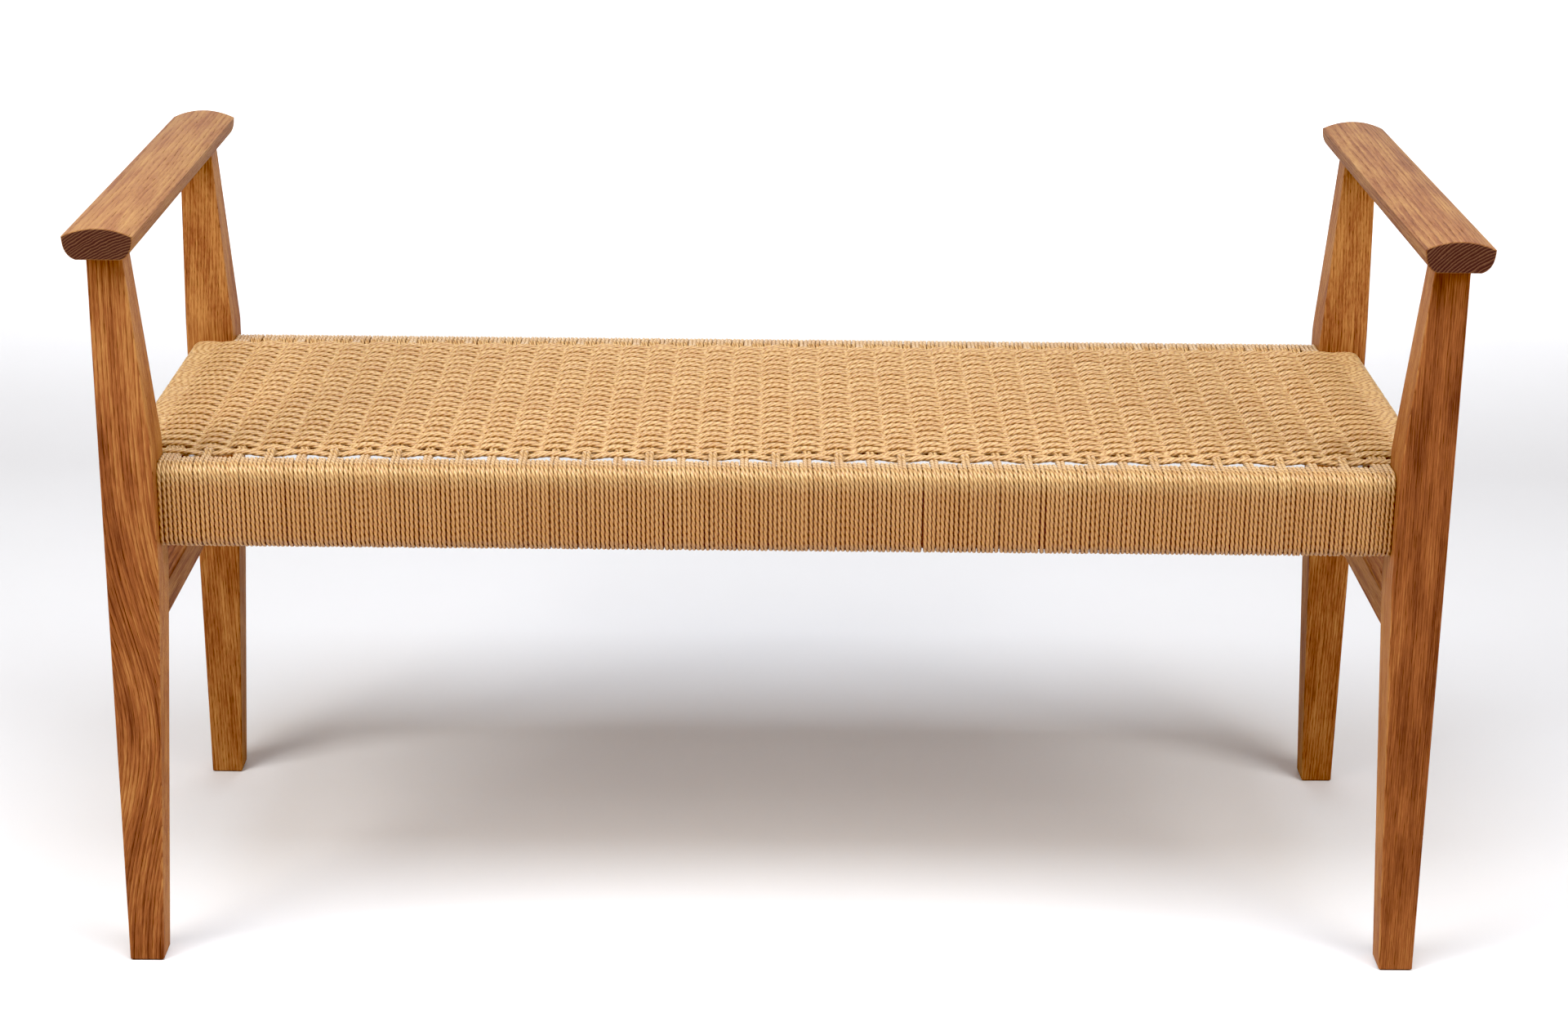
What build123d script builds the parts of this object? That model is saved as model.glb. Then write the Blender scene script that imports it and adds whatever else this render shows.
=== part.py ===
from build123d import *
import math
import os

os.makedirs("parts", exist_ok=True)

# ---------------------------------------------------------------- driving dimensions (mm)
# Frame: origin on the floor under the middle of the bench, X along its length, front at -Y, Z up.
LEG_OUT_X = 550.0          # outer side face of the legs
LEG_OUT_Y = 216.2          # front face of the front legs, rear face of the rear legs
LEG_TOP_Z = 621.5          # leg shoulder under the armrest
LEG_X_FOOT, LEG_X_SEAT, LEG_X_TOP = 28.8, 43.3, 28.4
LEG_X_KNEE_LO, LEG_X_KNEE_UP = 350.0, 455.0
LEG_Y_FOOT, LEG_Y_SEAT, LEG_Y_TOP = 28.7, 44.3, 29.9
LEG_Y_KNEE_LO, LEG_Y_KNEE_UP = 335.0, 461.0
KNEE_BLEND = 320.0         # radius that softens each change of taper
LEG_ARRIS = 1.4
FOOT_CHAMFER = 1.8
TENON_TOP_X, TENON_TOP_Y, TENON_TOP_H = 14.0, 16.0, 15.0

ARM_X = 535.6              # middle of each armrest
ARM_HALF_W = 28.0
ARM_HALF_LEN = 238.6
ARM_BOTTOM_Z = LEG_TOP_Z
ARM_TIP_H = 18.9           # height of the side tips above the underside
ARM_CROWN_H = 25.5
ARM_FLAT_HALF = 17.6       # half width of the flat underside

CORD = 3.71                # cord diameter
WRAPS = 272                # wraps between the legs on the front and rear rails
RAIL_T = 22.6              # seat rail thickness, bare wood
RAIL_Z0, RAIL_Z1 = 373.4, 439.6
RAIL_ROUND = 6.5
FRONT_RAIL_OUT = 204.7     # outer face of the cord on the front and rear rails, from the middle
SIDE_RAIL_OUT = 545.0      # outer face of the cord on the side rails, from the middle

STRETCH_X0, STRETCH_X1 = 519.0, 541.0
STRETCH_Z0, STRETCH_Z1 = 283.3, 312.0
STRETCH_ARRIS = 1.6

TENON_T = 10.0             # thickness of every rail tenon
TENON_L = 24.0             # length of every seat rail tenon
FB_TENON_Z0, FB_TENON_Z1 = 379.0, 403.0    # front and rear rails sit low in the leg
LR_TENON_Z0, LR_TENON_Z1 = 409.0, 433.0    # side rails sit above them
ST_TENON_Z0, ST_TENON_Z1 = 288.0, 307.5
ST_TENON_L = 22.0
MORTISE_END = 1.0          # glue room at the end of each mortise

WEFT_ROWS = 46             # each row is a loop of one cord, hooked on a nail inside each side rail
WEFT_Y0, WEFT_PITCH = -163.9, 7.376
NAIL_D = 1.8
NAIL_Z = 392.0
NAIL_IN_WOOD = 12.0
NAIL_OUT = 7.4             # from the rail face to the middle of the bent-up end
NAIL_HOOK = 6.5
NAIL_BEND = 1.7            # middle of the wire, round its bend
NAIL_DRIFT = 1.9           # a cord moves on by half a pitch on its way round a rail to its nail
WINDOW_Z0, WINDOW_Z1 = 390.9, 434.5        # above its nail no warp cord covers the rail's inner face

WARP_UNIT = 7              # cords for each warp pair: two carried over the seat, five spacers
WARP_PAIRS = 37            # pairs between the four-cord groups that stand next to the legs
WARP_STRIP_Z0, WARP_STRIP_Z1 = 435.9, 439.5
DECK_Z0, DECK_Z1 = 439.6, 446.4
DECK_Y0, DECK_Y1 = -167.6, 171.7
DECK_HALF_X = 529.9

# derived
leg_in_x = LEG_OUT_X - LEG_X_SEAT
leg_in_y = LEG_OUT_Y - LEG_Y_SEAT
fr_out = FRONT_RAIL_OUT - CORD            # outer wooden face of the front rail
fr_mid = fr_out - RAIL_T / 2
sr_out = SIDE_RAIL_OUT - CORD
sr_mid = sr_out - RAIL_T / 2
rail_mid_z = (RAIL_Z0 + RAIL_Z1) / 2
rail_h = RAIL_Z1 - RAIL_Z0
st_mid_x = (STRETCH_X0 + STRETCH_X1) / 2
st_mid_z = (STRETCH_Z0 + STRETCH_Z1) / 2
top_tenon_x = LEG_OUT_X - LEG_X_TOP / 2
top_tenon_y = LEG_OUT_Y - LEG_Y_TOP / 2


def leg_depth(z):
    """Front to rear size of a leg below the lower knee."""
    return LEG_Y_FOOT + (LEG_Y_SEAT - LEG_Y_FOOT) * z / LEG_Y_KNEE_LO


def save(part, label):
    part.label = label
    export_step(part, "parts/" + label + ".step")


# ---------------------------------------------------------------- legs
# Both outer faces are upright. Both inner faces taper from the seat joint to the foot and to the top.
with BuildPart() as front_left_leg:
    with BuildSketch(Plane.XZ) as leg_front_view:
        with BuildLine():
            Polyline(
                (-LEG_OUT_X, 0),
                (-LEG_OUT_X, LEG_TOP_Z),
                (-LEG_OUT_X + LEG_X_TOP, LEG_TOP_Z),
                (-LEG_OUT_X + LEG_X_SEAT, LEG_X_KNEE_UP),
                (-LEG_OUT_X + LEG_X_SEAT, LEG_X_KNEE_LO),
                (-LEG_OUT_X + LEG_X_FOOT, 0),
                close=True,
            )
        make_face()
        knees = leg_front_view.vertices().filter_by(lambda v: LEG_X_KNEE_LO - 1 < v.Z < LEG_X_KNEE_UP + 1)
        fillet(knees, radius=KNEE_BLEND)
        chamfer(leg_front_view.vertices().filter_by(lambda v: v.Z < 1), length=FOOT_CHAMFER)
    extrude(amount=400, both=True)
    with BuildSketch(Plane.YZ) as leg_side_view:
        with BuildLine():
            Polyline(
                (-LEG_OUT_Y, 0),
                (-LEG_OUT_Y, LEG_TOP_Z),
                (-LEG_OUT_Y + LEG_Y_TOP, LEG_TOP_Z),
                (-LEG_OUT_Y + LEG_Y_SEAT, LEG_Y_KNEE_UP),
                (-LEG_OUT_Y + LEG_Y_SEAT, LEG_Y_KNEE_LO),
                (-LEG_OUT_Y + LEG_Y_FOOT, 0),
                close=True,
            )
        make_face()
        knees_y = leg_side_view.vertices().filter_by(lambda v: LEG_Y_KNEE_LO - 1 < v.Z < LEG_Y_KNEE_UP + 1)
        fillet(knees_y, radius=KNEE_BLEND)
        chamfer(leg_side_view.vertices().filter_by(lambda v: v.Z < 1), length=FOOT_CHAMFER)
    extrude(amount=700, both=True, mode=Mode.INTERSECT)
    long_edges = front_left_leg.edges().filter_by(lambda e: abs((e @ 1 - e @ 0).Z) > 5)
    fillet(long_edges, radius=LEG_ARRIS)
    # tenon into the armrest
    with Locations((-top_tenon_x, -top_tenon_y, LEG_TOP_Z + TENON_TOP_H / 2)):
        Box(TENON_TOP_X, TENON_TOP_Y, TENON_TOP_H)
    # mortise for the front rail, cut from the inner side face
    with Locations((-leg_in_x - (TENON_L + MORTISE_END) / 2 + 10, -fr_mid, (FB_TENON_Z0 + FB_TENON_Z1) / 2)):
        Box(TENON_L + MORTISE_END + 20, TENON_T, FB_TENON_Z1 - FB_TENON_Z0, mode=Mode.SUBTRACT)
    # mortise for the side rail, cut from the inner rear face, above the front rail's
    with Locations((-sr_mid, -leg_in_y - (TENON_L + MORTISE_END) / 2 + 10, (LR_TENON_Z0 + LR_TENON_Z1) / 2)):
        Box(TENON_T, TENON_L + MORTISE_END + 20, LR_TENON_Z1 - LR_TENON_Z0, mode=Mode.SUBTRACT)
    # mortise for the stretcher
    with Locations((-st_mid_x, -(LEG_OUT_Y - leg_depth(STRETCH_Z0)) - (ST_TENON_L + MORTISE_END) / 2 + 10, (ST_TENON_Z0 + ST_TENON_Z1) / 2)):
        Box(TENON_T, ST_TENON_L + MORTISE_END + 20, ST_TENON_Z1 - ST_TENON_Z0, mode=Mode.SUBTRACT)
save(front_left_leg.part, "front_left_leg")

with BuildPart() as front_right_leg:
    mirror(front_left_leg.part, about=Plane.YZ)
save(front_right_leg.part, "front_right_leg")

with BuildPart() as rear_left_leg:
    mirror(front_left_leg.part, about=Plane.XZ)
save(rear_left_leg.part, "rear_left_leg")

with BuildPart() as rear_right_leg:
    mirror(rear_left_leg.part, about=Plane.YZ)
save(rear_right_leg.part, "rear_right_leg")

# ---------------------------------------------------------------- armrests
# One crowned section along the whole length, cut square at both ends.
with BuildPart() as left_armrest:
    with BuildSketch(Plane.XZ.offset(ARM_HALF_LEN)) as arm_section:
        with BuildLine():
            crown = ThreePointArc(
                (-ARM_X - ARM_HALF_W, ARM_BOTTOM_Z + ARM_TIP_H),
                (-ARM_X, ARM_BOTTOM_Z + ARM_CROWN_H),
                (-ARM_X + ARM_HALF_W, ARM_BOTTOM_Z + ARM_TIP_H),
            )
            Spline(
                (-ARM_X + ARM_HALF_W, ARM_BOTTOM_Z + ARM_TIP_H),
                (-ARM_X + ARM_HALF_W - 1.9, ARM_BOTTOM_Z + 8.0),
                (-ARM_X + ARM_FLAT_HALF, ARM_BOTTOM_Z),
                tangents=[(-0.05, -1), (-1, -0.32)],
            )
            Line((-ARM_X + ARM_FLAT_HALF, ARM_BOTTOM_Z), (-ARM_X - ARM_FLAT_HALF, ARM_BOTTOM_Z))
            Spline(
                (-ARM_X - ARM_FLAT_HALF, ARM_BOTTOM_Z),
                (-ARM_X - ARM_HALF_W + 1.9, ARM_BOTTOM_Z + 8.0),
                (-ARM_X - ARM_HALF_W, ARM_BOTTOM_Z + ARM_TIP_H),
                tangents=[(-1, 0.32), (-0.05, 1)],
            )
        make_face()
        tips = arm_section.vertices().filter_by(lambda v: v.Z > ARM_BOTTOM_Z + 10)
        fillet(tips, radius=2.0)
    extrude(amount=-2 * ARM_HALF_LEN)
    arm_ends = left_armrest.faces().sort_by(Axis.Y)
    chamfer(arm_ends[0].edges() + arm_ends[-1].edges(), length=0.7)
    # blind mortises for the leg tenons
    with Locations(
        (-top_tenon_x, -top_tenon_y, ARM_BOTTOM_Z + (TENON_TOP_H + MORTISE_END) / 2),
        (-top_tenon_x, top_tenon_y, ARM_BOTTOM_Z + (TENON_TOP_H + MORTISE_END) / 2),
    ):
        Box(TENON_TOP_X, TENON_TOP_Y, TENON_TOP_H + MORTISE_END, mode=Mode.SUBTRACT)
save(left_armrest.part, "left_armrest")

with BuildPart() as right_armrest:
    mirror(left_armrest.part, about=Plane.YZ)
save(right_armrest.part, "right_armrest")

# ---------------------------------------------------------------- places of the warp cords and of all nails
wrap_pitch = 2 * (leg_in_x - 0.2) / WRAPS
warp_xs = [(i - (WARP_PAIRS - 1) / 2) * WARP_UNIT * wrap_pitch for i in range(WARP_PAIRS)]
warp_end_x = leg_in_x - 0.2 - 2 * wrap_pitch
warp_nail_xs = [-warp_end_x - wrap_pitch + 0.2, -warp_end_x + wrap_pitch + 0.7]
warp_nail_xs += [x + NAIL_DRIFT for x in warp_xs]
warp_nail_xs += [warp_end_x - wrap_pitch + 0.7, warp_end_x + wrap_pitch + 0.2]
nail_ys = [WEFT_Y0 + i * WEFT_PITCH for i in range(WEFT_ROWS)]
fr_in = fr_out - RAIL_T                   # inner wooden face of the front rail
sr_in = sr_out - RAIL_T                   # inner wooden face of the side rail

# ---------------------------------------------------------------- seat rails
with BuildPart() as front_seat_rail:
    with BuildSketch(Plane.YZ.offset(-leg_in_x)):
        with Locations((-fr_mid, rail_mid_z)):
            RectangleRounded(RAIL_T, rail_h, RAIL_ROUND)
    extrude(amount=2 * leg_in_x)
    with Locations((0, -fr_mid, (FB_TENON_Z0 + FB_TENON_Z1) / 2)):
        Box(2 * (leg_in_x + TENON_L), TENON_T, FB_TENON_Z1 - FB_TENON_Z0)
    # pilot holes of the warp nails
    with BuildSketch(Plane.XZ.offset(fr_in + NAIL_IN_WOOD)):
        with Locations(*[(x, NAIL_Z) for x in warp_nail_xs]):
            Circle(NAIL_D / 2)
    extrude(amount=-(NAIL_IN_WOOD + 5), mode=Mode.SUBTRACT)
save(front_seat_rail.part, "front_seat_rail")

with BuildPart() as rear_seat_rail:
    mirror(front_seat_rail.part, about=Plane.XZ)
save(rear_seat_rail.part, "rear_seat_rail")

with BuildPart() as left_seat_rail:
    with BuildSketch(Plane.XZ.offset(leg_in_y)):
        with Locations((-sr_mid, rail_mid_z)):
            RectangleRounded(RAIL_T, rail_h, RAIL_ROUND)
    extrude(amount=-2 * leg_in_y)
    with Locations((-sr_mid, 0, (LR_TENON_Z0 + LR_TENON_Z1) / 2)):
        Box(TENON_T, 2 * (leg_in_y + TENON_L), LR_TENON_Z1 - LR_TENON_Z0)
    # pilot holes of the cord nails
    with BuildSketch(Plane.YZ.offset(-sr_in - NAIL_IN_WOOD)):
        with Locations(*[(y, NAIL_Z) for y in nail_ys]):
            Circle(NAIL_D / 2)
    extrude(amount=NAIL_IN_WOOD + 5, mode=Mode.SUBTRACT)
save(left_seat_rail.part, "left_seat_rail")

with BuildPart() as right_seat_rail:
    mirror(left_seat_rail.part, about=Plane.YZ)
save(right_seat_rail.part, "right_seat_rail")

# ---------------------------------------------------------------- side stretchers
# Their shoulders follow the taper of the legs.
y_lo = LEG_OUT_Y - leg_depth(STRETCH_Z0)
y_hi = LEG_OUT_Y - leg_depth(STRETCH_Z1)
with BuildPart() as left_stretcher:
    with BuildSketch(Plane.YZ.offset(-STRETCH_X1)):
        with BuildLine():
            Polyline((-y_lo, STRETCH_Z0), (y_lo, STRETCH_Z0), (y_hi, STRETCH_Z1), (-y_hi, STRETCH_Z1), close=True)
        make_face()
    extrude(amount=STRETCH_X1 - STRETCH_X0)
    fillet(left_stretcher.edges().filter_by(Axis.Y), radius=STRETCH_ARRIS)
    with Locations((-st_mid_x, 0, (ST_TENON_Z0 + ST_TENON_Z1) / 2)):
        Box(TENON_T, 2 * (y_lo + ST_TENON_L), ST_TENON_Z1 - ST_TENON_Z0)
save(left_stretcher.part, "left_stretcher")

with BuildPart() as right_stretcher:
    mirror(left_stretcher.part, about=Plane.YZ)
save(right_stretcher.part, "right_stretcher")

# ---------------------------------------------------------------- cord wound round the front and rear rails
with BuildPart() as front_rail_cord:
    with BuildSketch(Plane.YZ.offset(-leg_in_x + 0.2)):
        with Locations((-fr_mid, rail_mid_z)):
            RectangleRounded(RAIL_T + 2 * CORD, rail_h + 2 * CORD, RAIL_ROUND + CORD)
            RectangleRounded(RAIL_T, rail_h, RAIL_ROUND, mode=Mode.SUBTRACT)
    extrude(amount=2 * (leg_in_x - 0.2))
    # the bare places on the inner face, each one warp pair wide
    windows = [(x + NAIL_DRIFT, 2 * wrap_pitch) for x in warp_xs]
    windows += [(-warp_end_x + 0.45, 4 * wrap_pitch - 1.3), (warp_end_x + 0.45, 4 * wrap_pitch - 1.3)]
    for x, width in windows:
        with Locations((x, -fr_in + 5, (WINDOW_Z0 + WINDOW_Z1) / 2)):
            Box(width, 10, WINDOW_Z1 - WINDOW_Z0, mode=Mode.SUBTRACT)
save(front_rail_cord.part, "front_rail_cord")

with BuildPart() as rear_rail_cord:
    mirror(front_rail_cord.part, about=Plane.XZ)
save(rear_rail_cord.part, "rear_rail_cord")

# ---------------------------------------------------------------- weft cord round the side rails
# It comes off the seat over the top, goes down outside, under, and up inside as far as the nails.
with BuildPart() as left_rail_cord:
    with BuildSketch(Plane.XZ.offset(leg_in_y - 0.2)):
        with Locations((-sr_mid, rail_mid_z)):
            RectangleRounded(RAIL_T + 2 * CORD, rail_h + 2 * CORD, RAIL_ROUND + CORD)
            RectangleRounded(RAIL_T, rail_h, RAIL_ROUND, mode=Mode.SUBTRACT)
        with Locations((-sr_mid + 30, (NAIL_Z - NAIL_D / 2 - 0.1 + 460) / 2)):
            Rectangle(60, 460 - (NAIL_Z - NAIL_D / 2 - 0.1), mode=Mode.SUBTRACT)
    extrude(amount=-2 * (leg_in_y - 0.2))
save(left_rail_cord.part, "left_rail_cord")

with BuildPart() as right_rail_cord:
    mirror(left_rail_cord.part, about=Plane.YZ)
save(right_rail_cord.part, "right_rail_cord")

# ---------------------------------------------------------------- L-nails that hold the weft and the warp
# One bent wire nail, driven in along +Y, with the face of the wood at y = 0.
with BuildPart() as nail:
    with BuildLine(Plane.YZ) as nail_line:
        Line((NAIL_IN_WOOD - 0.5, 0), (-NAIL_OUT + NAIL_BEND, 0))
        JernArc((-NAIL_OUT + NAIL_BEND, 0), (-1, 0), NAIL_BEND, -90)
        Line((-NAIL_OUT, NAIL_BEND), (-NAIL_OUT, NAIL_HOOK))
    with BuildSketch(Plane((0, NAIL_IN_WOOD - 0.5, 0), x_dir=(1, 0, 0), z_dir=(0, -1, 0))):
        Circle(NAIL_D / 2)
    sweep(path=nail_line.line)


def nails(places, turn):
    """Nails at these places on a rail's inner face, turned about Z."""
    with BuildPart() as group:
        with Locations(*[Location(place, (0, 0, turn)) for place in places]):
            add(nail.part)
    return group.part


save(nails([(x, -fr_in, NAIL_Z) for x in warp_nail_xs], 180), "front_cord_nails")
save(nails([(x, fr_in, NAIL_Z) for x in warp_nail_xs], 0), "rear_cord_nails")
save(nails([(-sr_in, y, NAIL_Z) for y in nail_ys], 90), "left_cord_nails")
save(nails([(sr_in, y, NAIL_Z) for y in nail_ys], -90), "right_cord_nails")

# ---------------------------------------------------------------- seat: warp pairs and weft
warp_half_y = FRONT_RAIL_OUT - RAIL_T - 2 * CORD - 0.2   # up to the cord on the rails
with BuildPart() as seat_warp:
    with Locations(*[(x, 0, (WARP_STRIP_Z0 + WARP_STRIP_Z1) / 2) for x in warp_xs]):
        Box(2 * wrap_pitch, 2 * warp_half_y, WARP_STRIP_Z1 - WARP_STRIP_Z0)
    with Locations(*[(x, 0, (WARP_STRIP_Z0 + WARP_STRIP_Z1) / 2) for x in (-warp_end_x, warp_end_x)]):
        Box(4 * wrap_pitch, 2 * leg_in_y, WARP_STRIP_Z1 - WARP_STRIP_Z0)
save(seat_warp.part, "seat_warp")

with BuildPart() as seat_weft:
    with Locations((0, (DECK_Y0 + DECK_Y1) / 2, (DECK_Z0 + DECK_Z1) / 2)):
        Box(2 * DECK_HALF_X, DECK_Y1 - DECK_Y0, DECK_Z1 - DECK_Z0)
save(seat_weft.part, "seat_weft")
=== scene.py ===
import math

import bpy
import numpy as np
from mathutils import Matrix, Vector


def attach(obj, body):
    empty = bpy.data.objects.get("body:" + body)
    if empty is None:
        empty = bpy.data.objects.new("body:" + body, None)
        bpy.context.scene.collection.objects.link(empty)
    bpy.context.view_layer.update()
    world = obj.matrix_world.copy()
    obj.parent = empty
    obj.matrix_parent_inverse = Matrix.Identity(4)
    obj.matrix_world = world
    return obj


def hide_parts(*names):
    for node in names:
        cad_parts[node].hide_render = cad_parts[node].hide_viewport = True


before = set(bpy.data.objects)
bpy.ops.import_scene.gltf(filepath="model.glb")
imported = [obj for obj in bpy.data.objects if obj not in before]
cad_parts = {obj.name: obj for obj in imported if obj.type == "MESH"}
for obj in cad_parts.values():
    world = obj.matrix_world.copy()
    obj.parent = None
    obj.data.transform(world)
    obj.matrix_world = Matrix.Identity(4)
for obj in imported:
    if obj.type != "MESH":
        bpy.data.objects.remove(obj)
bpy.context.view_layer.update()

rng = np.random.default_rng(41)
MM = 0.001

# ------------------------------------------------------------------ camera
PITCH, ROLL, YAW = (math.radians(a) for a in (18.57262, -0.64695, 0.37007))
ahead = Vector((math.sin(YAW) * math.cos(PITCH), math.cos(YAW) * math.cos(PITCH), -math.sin(PITCH)))
level = Vector((math.cos(YAW), -math.sin(YAW), 0.0))
below = ahead.cross(level)
side = math.cos(ROLL) * level + math.sin(ROLL) * below
down = -math.sin(ROLL) * level + math.cos(ROLL) * below
lens = bpy.data.cameras.new("camera")
lens.sensor_fit = "HORIZONTAL"
lens.sensor_width = 36.0
lens.lens = 3728.15 / 1920 * 36.0
lens.clip_start, lens.clip_end = 0.05, 60.0
camera = bpy.data.objects.new("camera", lens)
bpy.context.scene.collection.objects.link(camera)
turn = Matrix((side, -down, -ahead)).transposed().to_4x4()
camera.matrix_world = Matrix.Translation((-0.00939, -2.56859, 1.20375)) @ turn
bpy.context.scene.camera = camera


# ------------------------------------------------------------------ materials
class Shader:
    """A material with a Principled shader, and short ways to add and link nodes."""

    def __init__(self, name):
        self.material = bpy.data.materials.new(name)
        self.material.use_nodes = True
        self.tree = self.material.node_tree
        self.bsdf = self.tree.nodes["Principled BSDF"]

    def add(self, kind, **values):
        node = self.tree.nodes.new(kind)
        for key, value in values.items():
            setattr(node, key, value)
        return node

    def plug(self, socket, source):
        if isinstance(source, (int, float)):
            socket.default_value = source
        elif isinstance(source, tuple):
            socket.default_value = source
        else:
            self.tree.links.new(source, socket)

    def maths(self, operation, a, b=0.0, clamp=False):
        node = self.add("ShaderNodeMath", operation=operation, use_clamp=clamp)
        self.plug(node.inputs[0], a)
        self.plug(node.inputs[1], b)
        return node.outputs[0]

    def vector(self, operation, a, b):
        node = self.add("ShaderNodeVectorMath", operation=operation)
        self.plug(node.inputs[0], a)
        self.plug(node.inputs[1], b)
        return node.outputs["Value"] if operation == "DOT_PRODUCT" else node.outputs[0]

    def noise(self, where, scale, detail=2.0, rough=0.5, distortion=0.0):
        node = self.add("ShaderNodeTexNoise")
        self.plug(node.inputs["Vector"], where)
        node.inputs["Scale"].default_value = scale
        node.inputs["Detail"].default_value = detail
        node.inputs["Roughness"].default_value = rough
        node.inputs["Distortion"].default_value = distortion
        return node.outputs["Fac"]

    def ramp(self, factor, stops, smooth=True):
        node = self.add("ShaderNodeValToRGB")
        node.color_ramp.interpolation = "EASE" if smooth else "LINEAR"
        for extra in range(len(stops) - 2):
            node.color_ramp.elements.new(0.5)
        for element, (at, colour) in zip(node.color_ramp.elements, stops):
            element.position = at
            element.color = (*colour, 1.0) if len(colour) == 3 else colour
        self.plug(node.inputs["Fac"], factor)
        return node.outputs["Color"]

    def level(self, factor, low, high, to_low=0.0, to_high=1.0):
        node = self.add("ShaderNodeMapRange", clamp=True)
        self.plug(node.inputs["Value"], factor)
        for name, value in (("From Min", low), ("From Max", high), ("To Min", to_low), ("To Max", to_high)):
            node.inputs[name].default_value = value
        return node.outputs["Result"]

    def mix(self, factor, a, b, blend="MIX"):
        node = self.add("ShaderNodeMix", data_type="RGBA", blend_type=blend, clamp_result=True)
        self.plug(node.inputs[0], factor)
        self.plug(node.inputs[6], a if not isinstance(a, tuple) else (*a, 1.0))
        self.plug(node.inputs[7], b if not isinstance(b, tuple) else (*b, 1.0))
        return node.outputs[2]

    def bump(self, height, distance, strength=1.0, under=None):
        node = self.add("ShaderNodeBump")
        node.inputs["Distance"].default_value = distance
        node.inputs["Strength"].default_value = strength
        self.plug(node.inputs["Height"], height)
        if under is not None:
            self.plug(node.inputs["Normal"], under)
        return node.outputs["Normal"]


OAK_DARK = (0.110, 0.038, 0.022)
OAK_MID = (0.278, 0.100, 0.040)
OAK_LIGHT = (0.465, 0.224, 0.078)
END_DARK = (0.042, 0.021, 0.022)
END_LIGHT = (0.150, 0.074, 0.045)


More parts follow.
